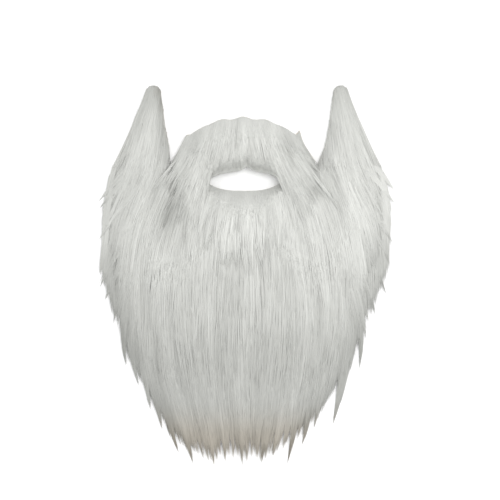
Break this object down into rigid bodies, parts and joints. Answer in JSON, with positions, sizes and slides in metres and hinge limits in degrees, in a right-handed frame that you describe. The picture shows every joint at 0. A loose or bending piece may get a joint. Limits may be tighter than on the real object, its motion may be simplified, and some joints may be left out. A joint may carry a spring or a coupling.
{
  "type": "fake beard",
  "caption": "Full false beard of deep pile with a joined moustache, two sideburns, a mouth opening and a soft cloth back, laid flat.",
  "frame": {"origin": "underside of the beard's cloth on its middle line, just below the lower lip, where it is held to the chin", "axes": "+X across the face, +Y from the chin up to the sideburns, +Z out of the face through the pile"},
  "size_m": [0.2994, 0.3885, 0.041],
  "materials": {
    "fur": "long white synthetic pile",
    "cloth": "off-white knitted backing cloth"
  },
  "bodies": {
    "root": {"beard_backing": "cloth", "beard_fur": "fur", "moustache_backing": "cloth", "moustache_fur": "fur"}
  },
  "joints": []
}
